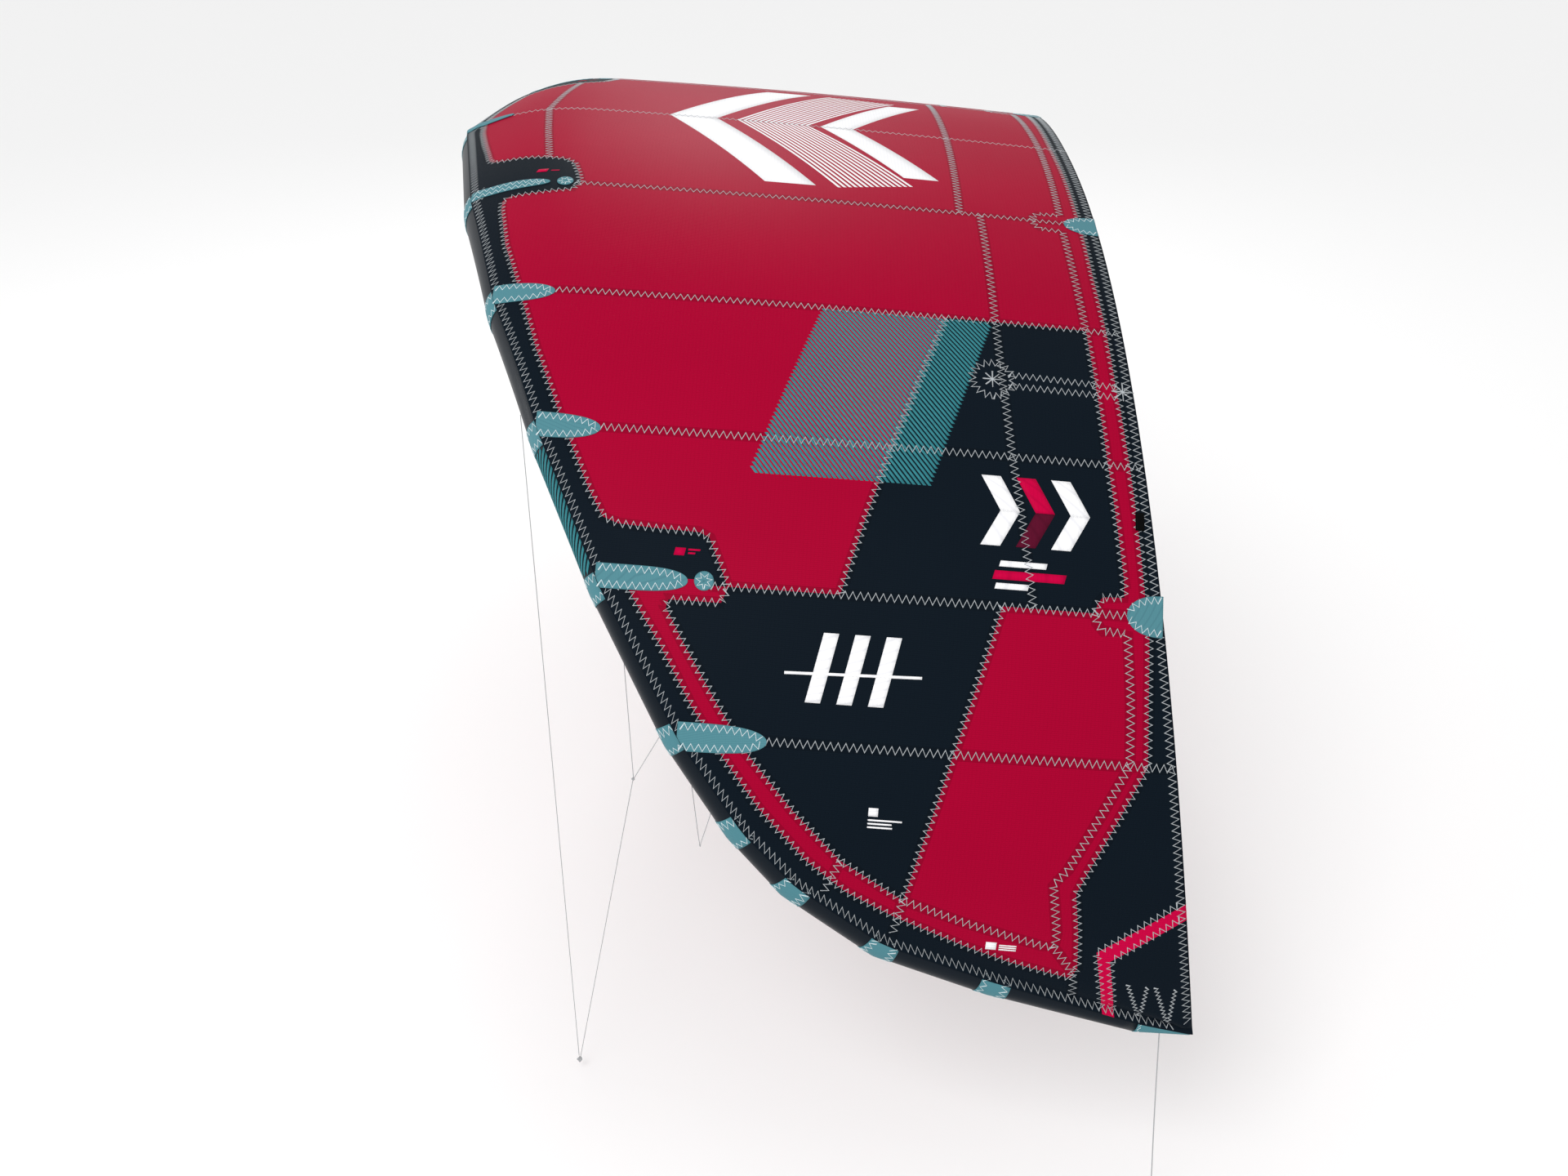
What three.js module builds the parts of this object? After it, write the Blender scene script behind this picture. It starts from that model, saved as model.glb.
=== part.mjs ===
// Leading-edge-inflatable kitesurf kite, 9 m2, in its flying shape. Millimetres, +Z up.
// X runs along the span, the leading edge faces -Y and the origin is the front of the leading edge
// tube at the centre. The wing is laid out flat as arc length u (from the centre), chord y (from the
// leading edge) and height h (outwards from the canopy's skin), and bent along the arch from there.
import * as THREE from 'three';
import { mergeVertices } from 'three/addons/utils/BufferGeometryUtils.js';

// Arch and plan
const halfArc = 3030;                 // arc length from the centre to a wing tip
const tipTurn = THREE.MathUtils.degToRad(87);     // how far the skin has turned down at the tip
const archPower = 1.3;                // how late the arch turns
const nosePitch = THREE.MathUtils.degToRad(4.85); // nose-up attitude in flight
const centreChord = 1935;
const edgeSweep = 300;                // how far back the trailing edge runs at the tip
const edgePower = 2.45;
const camber = 12;
const nose = { depth: 60, power: 2.5, until: 0.46, reach: 350, narrowing: 400 }; // the skin droops to the tube

// Leading edge tube: share of the arc, chordwise place of its axis, radius, and where the canopy
// is sewn to it, in degrees ahead of the tube's crest. The tube's panels join at these stations.
const tubeStations = [
  [0, 95, 95, 44], [0.198, 192, 88, 38], [0.362, 322, 81, 37], [0.505, 482, 75, 32],
  [0.637, 660, 68, 23], [0.76, 864, 62, 6], [0.835, 1029, 58, -4], [0.881, 1164, 55, -15],
  [0.932, 1399, 52, -26], [0.9635, 1693, 47, -38], [0.996, 2086, 35, -45], [1.0005, 2233, 14, -48],
].map(([share, y, radius, sewn]) => {
  const rise = radius * Math.cos(THREE.MathUtils.degToRad(Math.min(sewn, 0)));
  return { u: share * halfArc, y, radius, rise };
});
const capStation = 10;                // the tip cap starts here
const tubeCuts = [1, 2, 3, 4, 5, capStation];

// Skins
const skinThickness = 3;
const tubeWall = 2;
const sewnGap = 0.3;                  // between pieces that touch
const strutGap = 3.5;                 // between the canopy and a strut
const skinLap = 7;                    // how far the tube has dropped under the canopy's front edge
const tubeSides = 16;

// Struts: place along the arc, front and rear radius, chordwise start and end
const struts = [
  { name: 'inner', u: 600, front: 50, rear: 22, start: 302, end: 1915 },
  { name: 'outer', u: 1930, front: 42, rear: 19, start: 760, end: 2020 },
];

// Lines, straight under tension: points in the kite's own frame
const lineRadius = 1.5;
const pigtailRadius = 2;
const loopRadius = 1;
const bridle = {
  front: [[1335, 334.2, -474.5], [1597, 377.5, -2555.5]],
  upper_inner: [[1739.6, 611.4, -915], [1799.2, 625.8, -1298]],
  upper_outer: [[1850, 727, -1085], [1801.2, 627.6, -1298.6]],
  lower: [[1799.6, 624, -1306], [1603.7, 382.5, -2555.5]],
};
const pigtail = [[2133, 2009, -1869], [2125, 2018, -1960], [2103, 2045, -2230], [2074, 2079, -2540]];
const bungee = [[1912, 782, -1180], [1922, 791, -1285], [1931, 801, -1400], [1934.5, 804, -1417],
  [1936, 807, -1400], [1936, 826, -1335], [1936, 847, -1254]];
const knots = {
  front: { at: [1600, 379, -2579], radius: 8, height: 22 },
  back: { at: [2073.5, 2079.5, -2557], radius: 9, height: 16 },
};

// Inflation valve on the leading edge tube, and the one-pump hoses beside the struts
const valve = { station: 0.42, angle: THREE.MathUtils.degToRad(-125), flange: 24, spout: 12, bore: 8.5, height: 16 };
const hose = { radius: 7, aside: 78, reach: 90 };
const clip = { length: 28, width: 16, thickness: 3, drop: 12 };

const colours = {                      // colour and roughness
  navy: [0x14284f, 0.35], red: [0xc4252e, 0.6], teal: [0x1e8fa5, 0.55], bladder: [0xd8e4ea, 0.4],
  line: [0x50545a, 0.7], grey: [0x2b2f36, 0.5], black: [0x17191c, 0.45],
};

const kite = new THREE.Group();
const wing = new THREE.Group();
wing.rotation.x = -nosePitch;
kite.add(wing);

// A point on the arch: x and z of the skin, found by walking along it
function archPoint(u) {
  const steps = 48;
  const point = { x: 0, z: 0 };
  for (let i = 0; i < steps; i += 1) {
    const turn = tipTurn * (((i + 0.5) / steps) * u / halfArc) ** archPower;
    point.x += Math.cos(turn) * u / steps;
    point.z -= Math.sin(turn) * u / steps;
  }
  return point;
}

function skinNormal(u) {
  const turn = tipTurn * (Math.abs(u) / halfArc) ** archPower;
  return new THREE.Vector3(Math.sign(u) * Math.sin(turn), 0, Math.cos(turn));
}

// How far the skin droops at the tube, over how long a stretch behind it, and its slope there
function noseAt(u) {
  const share = Math.abs(u) / halfArc;
  const depth = nose.depth * Math.max(0, 1 - (share / nose.until) ** 1.6);
  const reach = nose.reach - nose.narrowing * Math.min(share, nose.until);
  return { depth, reach, slope: nose.power * depth / reach };
}

function tubeLine(u) {
  const far = Math.abs(u);
  const i = Math.max(1, tubeStations.findIndex((station) => station.u >= far));
  const [a, b] = [tubeStations[i - 1], tubeStations[i]];
  return THREE.MathUtils.lerp(a.y, b.y, (far - a.u) / (b.u - a.u));
}

function skinPoint(u, y, h) {
  const base = archPoint(Math.abs(u));
  const { depth, reach } = noseAt(u);
  const droop = depth * Math.max(0, (tubeLine(u) + reach - y) / reach) ** nose.power;
  return new THREE.Vector3(Math.sign(u) * base.x, y, base.z).addScaledVector(skinNormal(u), h - droop);
}

// The tube's axis at a station number with a fraction; negative numbers are the other wing
function tubeAt(station) {
  const far = Math.min(Math.abs(station), tubeStations.length - 1.0001);
  const a = tubeStations[Math.floor(far)];
  const b = tubeStations[Math.floor(far) + 1];
  const share = far - Math.floor(far);
  const mix = (key) => THREE.MathUtils.lerp(a[key], b[key], share);
  return { u: Math.sign(station) * mix('u'), y: mix('y'), radius: mix('radius'), rise: mix('rise') };
}

function tubeAxis(station) {
  const { u, y, radius, rise } = tubeAt(station);
  const tuck = radius * (Math.hypot(1, noseAt(u).slope) - 1);
  return skinPoint(u, y, -rise - tuck);
}

// Section directions of the tube: along it, up out of the skin, and forwards
function tubeFrame(station) {
  const step = 0.02;
  const along = tubeAxis(station + step).sub(tubeAxis(station - step)).normalize();
  const up = skinNormal(tubeAt(station).u);
  up.addScaledVector(along, -up.dot(along)).normalize();
  return { along, up, forward: new THREE.Vector3().crossVectors(along, up) };
}

function tubePoint(station, angle, radius) {
  const { up, forward } = tubeFrame(station);
  return tubeAxis(station)
    .addScaledVector(up, radius * Math.cos(angle))
    .addScaledVector(forward, radius * Math.sin(angle));
}

// Moves every vertex of a geometry, closes its seams and turns its faces outwards
function bend(geometry, place) {
  geometry.deleteAttribute('normal');
  geometry.deleteAttribute('uv');
  const places = geometry.attributes.position;
  for (let i = 0; i < places.count; i += 1) {
    const moved = place(new THREE.Vector3().fromBufferAttribute(places, i));
    places.setXYZ(i, moved.x, moved.y, moved.z);
  }
  return facedOut(mergeVertices(geometry, 0.001));
}

function facedOut(geometry) {
  const places = geometry.attributes.position;
  const index = geometry.index.array;
  const corner = (i) => new THREE.Vector3().fromBufferAttribute(places, index[i]);
  const kept = [];
  let volume = 0;
  for (let i = 0; i < index.length; i += 3) {
    if (new Set([index[i], index[i + 1], index[i + 2]]).size === 3) {
      volume += corner(i).dot(corner(i + 1).cross(corner(i + 2)));
      kept.push(index[i], index[i + 1], index[i + 2]);
    }
  }
  if (volume < 0) {
    kept.reverse();
  }
  geometry.setIndex(kept);
  return geometry;
}

function add(name, geometry, colour, parent = wing) {
  const [shade, roughness] = colours[colour];
  const material = new THREE.MeshStandardMaterial({ color: shade, roughness, metalness: 0 });
  const mesh = new THREE.Mesh(geometry, material);
  mesh.name = name;
  parent.add(mesh);
}

// Adds a piece to the left wing (+X) and its mirror image to the right wing (-X)
function addPair(name, geometry, colour, parent = wing) {
  add(`${name}_left`, geometry, colour, parent);
  const mirrored = bend(geometry.clone(), (point) => point.setX(-point.x));
  add(`${name}_right`, mirrored, colour, parent);
}

// A hollow tube with open ends, made as a lathed ring of radius 1 (outside) and 0.5 (inside)
function hollowTube(steps, sides, place) {
  const outside = Array.from({ length: steps + 1 }, (_, i) => new THREE.Vector2(1, i / steps));
  const inside = outside.map((point) => new THREE.Vector2(0.5, point.y)).reverse();
  const ring = new THREE.LatheGeometry([...outside, ...inside, outside[0]], sides);
  return bend(ring, (point) => {
    const inner = Math.hypot(point.x, point.z) < 0.75;
    return place(point.y, Math.atan2(point.x, point.z), inner);
  });
}

function solidTube(steps, sides, place) {
  const rod = new THREE.CylinderGeometry(1, 1, 1, sides, steps);
  return bend(rod, (point) => place(point.y + 0.5, Math.atan2(point.x, point.z),
    Math.hypot(point.x, point.z)));
}

// Leading edge tube
function tubeSection(from, to, steps) {
  const trim = 0.0008;
  return hollowTube(steps, tubeSides, (share, angle, inner) => {
    const station = THREE.MathUtils.lerp(from + trim, to - trim, share);
    const { radius } = tubeAt(station);
    return tubePoint(station, angle, inner ? radius - tubeWall : radius);
  });
}

add('leading_edge_tube_centre', tubeSection(-1, 1, 6), 'navy');
for (let i = 1; i < tubeCuts.length; i += 1) {
  const steps = i === tubeCuts.length - 1 ? 10 : 2;
  addPair(`leading_edge_tube_${i}`, tubeSection(tubeCuts[i - 1], tubeCuts[i], steps), 'navy');
}

const tipCap = solidTube(3, tubeSides, (share, angle, spread) => {
  const station = THREE.MathUtils.lerp(capStation + 0.004, tubeStations.length - 1.01, share);
  return tubePoint(station, angle, spread * tubeAt(station).radius);
});
addPair('tip_cap', tipCap, 'teal');

const bladderSteps = 40;
const bladder = solidTube(bladderSteps, 10, (share, angle, spread) => {
  const station = THREE.MathUtils.lerp(0.05 - capStation, capStation - 0.05, share);
  return tubePoint(station, angle, spread * (0.95 * (tubeAt(station).radius - tubeWall) - 1.5));
});
add('leading_edge_bladder', bladder, 'bladder');

// Canopy: its front edge lies where the tube has dropped away under it
const frontEdge = tubeStations.map((_, i) => {
  const station = Math.min(i, tubeStations.length - 1.02);
  const { u, y, radius, rise } = tubeAt(station);
  const ahead = tubeAt(station + 0.01);
  const behind = tubeAt(Math.max(station - 0.01, 0));
  const slope = Math.atan2(ahead.y - behind.y, ahead.u - behind.u) * (i > 0);
  const touch = radius * Math.sin(Math.atan(noseAt(u).slope));
  const back = Math.sqrt(radius ** 2 - (rise - skinLap) ** 2) - touch;
  return new THREE.Vector2(u - back * Math.sin(slope), y + back * Math.cos(slope));
});

function frontAt(u) {
  const i = Math.max(1, frontEdge.findIndex((point) => point.x >= u));
  const share = (u - frontEdge[i - 1].x) / (frontEdge[i].x - frontEdge[i - 1].x);
  return THREE.MathUtils.lerp(frontEdge[i - 1].y, frontEdge[i].y, share);
}

const trailingAt = (u) => centreChord + edgeSweep * (u / halfArc) ** edgePower;

function camberAt(u, y) {
  const share = THREE.MathUtils.clamp((y - frontAt(u)) / (trailingAt(u) - frontAt(u)), 0, 1);
  return 4 * camber * share * (1 - share);
}

// A chordwise panel between two lines of the arch; edges lists the arc places it bends at
function canopyPanel(edges) {
  const rows = 8;                      // closer together at the front
  const sheet = new THREE.BoxGeometry(1, 1, 1, edges.length - 1, rows, 1);
  return bend(sheet, (point) => {
    const u = edges[Math.round((point.x + 0.5) * (edges.length - 1))];
    const far = Math.abs(u);
    const y = THREE.MathUtils.lerp(frontAt(far), trailingAt(far), (point.y + 0.5) ** 1.7);
    return skinPoint(u, y, camberAt(far, y) + (point.z - 0.5) * skinThickness);
  });
}

function evenly(from, to, parts) {
  return Array.from({ length: parts + 1 }, (_, i) => THREE.MathUtils.lerp(from, to, i / parts));
}

const seams = tubeStations.slice(1, 6).map((station) => station.u);
add('canopy_centre', canopyPanel(evenly(-seams[0] + sewnGap, seams[0] - sewnGap, 8)), 'red');
for (let i = 1; i < seams.length; i += 1) {
  addPair(`canopy_panel_${i}`, canopyPanel(evenly(seams[i - 1] + sewnGap, seams[i] - sewnGap, 3)), 'red');
}
const tipEnd = frontEdge[capStation].x - 1;
const tipEdges = [seams[4] + sewnGap, ...frontEdge.slice(6, capStation).map((point) => point.x), tipEnd];
addPair('canopy_tip', canopyPanel(tipEdges), 'navy');

// Struts hang under the canopy and follow its camber
function strutPoint(strut, y, angle, radius) {
  const share = (y - strut.start) / (strut.end - strut.start);
  const around = THREE.MathUtils.lerp(strut.front, strut.rear, share);
  const drop = camberAt(strut.u, y) - skinThickness - strutGap - around;
  const along = new THREE.Vector3(0, 1, 0);
  const up = skinNormal(strut.u);
  const side = new THREE.Vector3().crossVectors(along, up);
  return skinPoint(strut.u, y, drop)
    .addScaledVector(up, radius * around * Math.cos(angle))
    .addScaledVector(side, radius * around * Math.sin(angle));
}

for (const strut of struts) {
  const placeAt = (share) => THREE.MathUtils.lerp(strut.start, strut.end, share);
  const casing = hollowTube(6, 12, (share, angle, inner) =>
    strutPoint(strut, placeAt(share), angle, inner ? 0.93 : 1));
  addPair(`${strut.name}_strut`, casing, 'navy');
  const filling = solidTube(6, 8, (share, angle, spread) =>
    strutPoint(strut, placeAt(0.01 + 0.98 * share), angle, spread * 0.86));
  addPair(`${strut.name}_strut_bladder`, filling, 'bladder');
}

// A round cord or hose through a list of points
function cord(points, radius, steps) {
  const round = new THREE.Shape().absarc(0, 0, radius, 0, Math.PI * 2);
  const path = new THREE.CatmullRomCurve3(points);
  const settings = { extrudePath: path, steps, curveSegments: 8, bevelEnabled: false };
  return bend(new THREE.ExtrudeGeometry(round, settings), (point) => point);
}

const asPoints = (list) => list.map((place) => new THREE.Vector3(...place));

// One-pump hoses from the leading edge tube into each strut, with a clip lever under each hose
for (const strut of struts) {
  const index = strut.name === 'inner' ? 1 : 4;
  const station = index - hose.aside / (tubeStations[index].u - tubeStations[index - 1].u);
  const { radius } = tubeAt(station);
  const back = -Math.PI / 2;
  const entry = strut.start + hose.reach;
  const route = [
    tubePoint(station, back, radius + 0.5), tubePoint(station, back, radius + 40),
    strutPoint(strut, entry, back, 1.6), strutPoint(strut, entry, back, 1.12),
  ];
  addPair(`one_pump_hose_${strut.name}`, cord(route, hose.radius, 12), 'bladder');

  const frame = tubeFrame(station);
  const lever = new THREE.BoxGeometry(clip.width, clip.length, clip.thickness);
  const middle = tubePoint(station, back, radius + 7 + clip.length / 2);
  const placed = bend(lever, (point) => middle.clone()
    .addScaledVector(frame.along, point.x)
    .addScaledVector(frame.forward, -point.y)
    .addScaledVector(frame.up, point.z - clip.drop));
  addPair(`one_pump_clip_${strut.name}`, placed, 'grey');
}

// Inflation valve, standing out of the tube's lower back
const valveFoot = tubePoint(valve.station, valve.angle, tubeAt(valve.station).radius + 0.6);
const valveOut = valveFoot.clone().sub(tubeAxis(valve.station)).normalize();
const valveAlong = tubeFrame(valve.station).along;
const valveAside = new THREE.Vector3().crossVectors(valveOut, valveAlong);

function onValve(geometry) {
  return bend(geometry, (point) => valveFoot.clone()
    .addScaledVector(valveAlong, point.x)
    .addScaledVector(valveOut, point.y)
    .addScaledVector(valveAside, point.z));
}

function turned(profile, sides) {
  const points = [...profile, profile[0]].map(([radius, height]) => new THREE.Vector2(radius, height));
  return new THREE.LatheGeometry(points, sides);
}

const { flange, spout, bore, height } = valve;
add('valve_body', onValve(turned([[0, 0], [flange, 0], [flange, 2.5], [spout, 2.5], [spout, height],
  [bore, height], [bore, 4], [0, 4]], 24)), 'grey');
add('valve_insert', onValve(turned([[0, 4.4], [bore - 0.4, 4.4], [bore - 0.4, height - 1.5],
  [bore - 3, height - 1.5], [bore - 3, 9], [0, 9]], 24)), 'black');

// The cap is a disc with a tongue, which bends at the valve's flange
const tongue = { width: 7, reach: 21, thickness: 2.5 };
const capOutline = new THREE.Shape();
capOutline.absarc(0, 0, spout, 0.3, Math.PI * 2 - 0.3);
capOutline.lineTo(tongue.reach, -tongue.width / 2);
capOutline.lineTo(tongue.reach, tongue.width / 2);
const capPlate = new THREE.ExtrudeGeometry(capOutline, {
  depth: tongue.thickness, bevelEnabled: false, curveSegments: 20,
});
capPlate.rotateX(-Math.PI / 2);
capPlate.translate(0, height + 0.4, 0);
add('valve_cap', onValve(capPlate), 'black');

// Bridle, back pigtails and tip bungees
for (const [name, points] of Object.entries(bridle)) {
  addPair(`bridle_line_${name}`, cord(asPoints(points), lineRadius, 4), 'line', kite);
}
addPair('back_pigtail', cord(asPoints(pigtail), pigtailRadius, 8), 'line', kite);
addPair('tip_bungee', cord(asPoints(bungee), loopRadius, 24), 'line', kite);
for (const [name, { at, radius, height: tall }] of Object.entries(knots)) {
  const knot = turned([[0, 0], [0.6 * radius, 0], [radius, 0.3 * tall], [radius, 0.6 * tall],
    [0.4 * radius, tall], [0, tall]], 12);
  const placed = bend(knot, (point) => new THREE.Vector3(at[0] + point.x, at[1] - point.z, at[2] + point.y));
  addPair(`${name}_line_knot`, placed, 'line', kite);
}

export default kite;
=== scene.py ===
import bpy
import bmesh
import math
from mathutils import Vector, Matrix


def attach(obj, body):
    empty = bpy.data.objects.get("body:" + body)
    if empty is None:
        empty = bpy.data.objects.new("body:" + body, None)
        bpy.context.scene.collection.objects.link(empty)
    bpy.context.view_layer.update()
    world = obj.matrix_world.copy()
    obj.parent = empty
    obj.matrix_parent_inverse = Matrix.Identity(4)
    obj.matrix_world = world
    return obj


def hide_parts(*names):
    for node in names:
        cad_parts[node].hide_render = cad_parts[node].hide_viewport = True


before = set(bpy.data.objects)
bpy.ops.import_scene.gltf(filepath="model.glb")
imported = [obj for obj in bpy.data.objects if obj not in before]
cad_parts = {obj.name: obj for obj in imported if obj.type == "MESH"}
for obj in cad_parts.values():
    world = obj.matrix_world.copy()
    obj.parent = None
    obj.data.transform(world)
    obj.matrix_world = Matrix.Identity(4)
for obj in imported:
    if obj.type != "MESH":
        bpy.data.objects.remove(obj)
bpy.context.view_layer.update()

# Camera

cameraSet = {"place": (5.125, 1.021, 1.297), "turn": (58.81, 0.0, 90.0), "lens": 36.64}


def setCamera(settings):
    cameraData = bpy.data.cameras.new("camera")
    cameraData.lens = settings["lens"]
    cameraData.sensor_width = 36.0
    cameraData.clip_end = 200.0
    holder = bpy.data.objects.new("camera", cameraData)
    holder.location = settings["place"]
    holder.rotation_euler = [math.radians(turn) for turn in settings["turn"]]
    bpy.context.scene.collection.objects.link(holder)
    bpy.context.scene.camera = holder


setCamera(cameraSet)
print("camera set")

# The wing's cloth is laid out flat as u (along the arch from the centre), y (chordwise) and h (above
# the skin); metres everywhere, and angles in degrees in the settings

arch = {"half": 3.03, "tipTurn": 87.0, "power": 1.3, "pitch": 4.85, "step": 0.002, "reach": 3.12}
plan = {"chord": 1.935, "sweep": 0.3, "sweepPower": 2.45, "camber": 0.012, "camberFrom": 0.1,
        "stitchToEdge": 0.014}
nose = {"depth": 0.06, "power": 2.5, "until": 0.46, "reach": 0.35, "narrowing": 0.4}
tubeStations = [
    (0.0, 0.095, 0.095, 44), (0.198, 0.192, 0.088, 38), (0.362, 0.322, 0.081, 37),
    (0.505, 0.482, 0.075, 32), (0.637, 0.660, 0.068, 23), (0.76, 0.864, 0.062, 6),
    (0.835, 1.029, 0.058, -4), (0.881, 1.164, 0.055, -15), (0.932, 1.399, 0.052, -26),
    (0.9635, 1.693, 0.047, -38), (0.996, 2.086, 0.035, -45), (1.0005, 2.233, 0.014, -48),
]                                     # share of the arch, axis y, radius, angle of the canopy's seam
lastStation = len(tubeStations) - 1
capStation = 10
wings = ((1, "left"), (-1, "right"))
pitchCos = math.cos(math.radians(arch["pitch"]))
pitchSin = math.sin(math.radians(arch["pitch"]))


def turnAt(u):
    return math.radians(arch["tipTurn"]) * (abs(u) / arch["half"]) ** arch["power"]


def walkArch():
    spots = [(0.0, 0.0)]
    while (len(spots) - 1) * arch["step"] < arch["reach"]:
        turn = turnAt((len(spots) - 0.5) * arch["step"])
        x, z = spots[-1]
        spots.append((x + arch["step"] * math.cos(turn), z - arch["step"] * math.sin(turn)))
    return spots


archSpots = walkArch()


def mix(a, b, share):
    return a + (b - a) * share


def tilt(spot):
    return Vector((spot.x, spot.y * pitchCos + spot.z * pitchSin, spot.z * pitchCos - spot.y * pitchSin))


def skinNormal(u):
    turn = turnAt(u)
    return Vector((math.copysign(math.sin(turn), u), 0, math.cos(turn)))


def noseAt(u):                        # how far the skin droops at the tube, over what reach, its slope
    share = min(abs(u) / arch["half"], nose["until"])
    depth = nose["depth"] * (1 - (share / nose["until"]) ** 1.6)
    reach = nose["reach"] - nose["narrowing"] * share
    return depth, reach, nose["power"] * depth / reach


def tubeLine(u):
    far = abs(u) / arch["half"]
    for a, b in zip(tubeStations, tubeStations[1:]):
        if b[0] >= far:
            return mix(a[1], b[1], (far - a[0]) / (b[0] - a[0]))
    return tubeStations[-1][1]


def droopAt(u, y):
    depth, reach, slope = noseAt(u)
    return depth * max((tubeLine(u) + reach - y) / reach, 0.0) ** nose["power"] if depth > 0 else 0.0


def skinLevel(u, y, h=0.0):
    far = min(abs(u) / arch["step"], len(archSpots) - 1.001)
    i = int(far)
    x = mix(archSpots[i][0], archSpots[i + 1][0], far - i)
    z = mix(archSpots[i][1], archSpots[i + 1][1], far - i)
    return Vector((math.copysign(x, u), y, z)) + skinNormal(u) * (h - droopAt(u, y))


def tubeAt(station):
    far = min(abs(station), lastStation - 0.0001)
    i = int(far)
    a, b = tubeStations[i], tubeStations[i + 1]
    share, y, radius, sewn = (mix(a[k], b[k], far - i) for k in range(4))
    rises = [s[2] * math.cos(math.radians(min(s[3], 0))) for s in (a, b)]
    u = math.copysign(share * arch["half"], station)
    return {"u": u, "y": y, "radius": radius, "rise": mix(rises[0], rises[1], far - i), "sewn": sewn}


def tubeAxis(station):
    at = tubeAt(station)
    tuck = at["radius"] * (math.hypot(1, noseAt(at["u"])[2]) - 1)
    return skinLevel(at["u"], at["y"], -at["rise"] - tuck)


def tubeSpot(station, angle, lift=0.0, radius=None):
    step = 0.02
    far = math.copysign(min(abs(station), lastStation - step), station)
    along = (tubeAxis(far + step) - tubeAxis(far - step)).normalized()
    up = skinNormal(tubeAt(station)["u"])
    up = (up - along * up.dot(along)).normalized()
    forward = along.cross(up)
    reach = (tubeAt(station)["radius"] if radius is None else radius) + lift
    turn = math.radians(angle)
    return tilt(tubeAxis(station) + up * reach * math.cos(turn) + forward * reach * math.sin(turn))


def seamSpot(station, ahead=0.0):     # flat place of the canopy's seam on the tube
    at = tubeAt(station)
    step = 0.02
    near, beyond = tubeAt(max(station - step, 0.0)), tubeAt(min(station + step, lastStation - 0.001))
    slope = math.atan2(beyond["y"] - near["y"], beyond["u"] - near["u"]) if station > 0.01 else 0.0
    reach = at["radius"] * math.sin(math.radians(at["sewn"])) + ahead
    return at["u"] + reach * math.sin(slope), at["y"] - reach * math.cos(slope)


seamSteps = [i * 0.05 for i in range(int(lastStation / 0.05) + 1)]
edgeLine = [seamSpot(station, plan["stitchToEdge"]) for station in seamSteps]
clothEnd = edgeLine[-1][0] - 0.001


def lineAt(line, u):
    far = abs(u)
    for (ua, ya), (ub, yb) in zip(line, line[1:]):
        if ub >= far:
            return mix(ya, yb, (far - ua) / max(ub - ua, 1e-9))
    return line[-1][1]


def trailingAt(u):
    return plan["chord"] + plan["sweep"] * (abs(u) / arch["half"]) ** plan["sweepPower"]


def tubeTop(u, y):                    # height of the tube's upper side above the skin, and its slope
    best = None
    far = abs(u)
    for a, b in zip(tubeStations, tubeStations[1:]):
        au, bu = a[0] * arch["half"], b[0] * arch["half"]
        du, dy = bu - au, b[1] - a[1]
        share = min(max(((far - au) * du + (y - a[1]) * dy) / (du * du + dy * dy), 0.0), 1.0)
        away = math.hypot(far - au - share * du, y - a[1] - share * dy)
        if best is None or away < best[0]:
            rises = [s[2] * math.cos(math.radians(min(s[3], 0))) for s in (a, b)]
            best = (away, mix(a[2], b[2], share), mix(rises[0], rises[1], share), au + share * du)
    away, radius, rise, near = best
    if away >= radius * 0.99:
        return None, 1.0
    height = math.sqrt(radius * radius - away * away)
    depth, _, slope = noseAt(near)
    tuck = radius * (math.hypot(1, slope) - 1)
    return height - rise - tuck - depth + droopAt(u, y), height / radius


def camberStart(u):
    return lineAt(edgeLine, u) + plan["camberFrom"]


def camberAt(u, y, front):
    share = min(max((y - front) / max(trailingAt(u) - front, 0.01), 0.0), 1.0)
    return 4 * plan["camber"] * share * (1 - share)


def clothSpot(u, y, lift=0.0):        # a point on the canopy's cloth, in the wing's place
    front = camberStart(u)
    height, flatness = camberAt(u, y, front), 1.0
    if y < front + plan["camberFrom"]:
        top, slant = tubeTop(u, y)
        if top is not None and top >= height:
            height, flatness = top, slant
    return tilt(skinLevel(u, y, height + lift / max(flatness, 0.5)))


# Materials


def material(name, roughness, **constants):
    made = bpy.data.materials.new(name)
    made.use_nodes = True
    shader = made.node_tree.nodes["Principled BSDF"]
    shader.inputs["Roughness"].default_value = roughness
    for key, value in constants.items():
        shader.inputs[key.replace("_", " ")].default_value = value
    return made, shader


def link(made, source, target):
    made.node_tree.links.new(source, target)


def node(made, kind, **values):
    new = made.node_tree.nodes.new(kind)
    for key, value in values.items():
        if key in new.inputs:
            new.inputs[key].default_value = value
        else:
            setattr(new, key, value)
    return new


def scaled(made, source, factor):
    scale = node(made, "ShaderNodeMapping")
    scale.inputs["Scale"].default_value = factor
    link(made, source, scale.inputs["Vector"])
    return scale.outputs["Vector"]


def shade(colour, factor):
    return tuple(min(c * factor, 1.0) for c in colour[:3]) + (1.0,)


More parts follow.
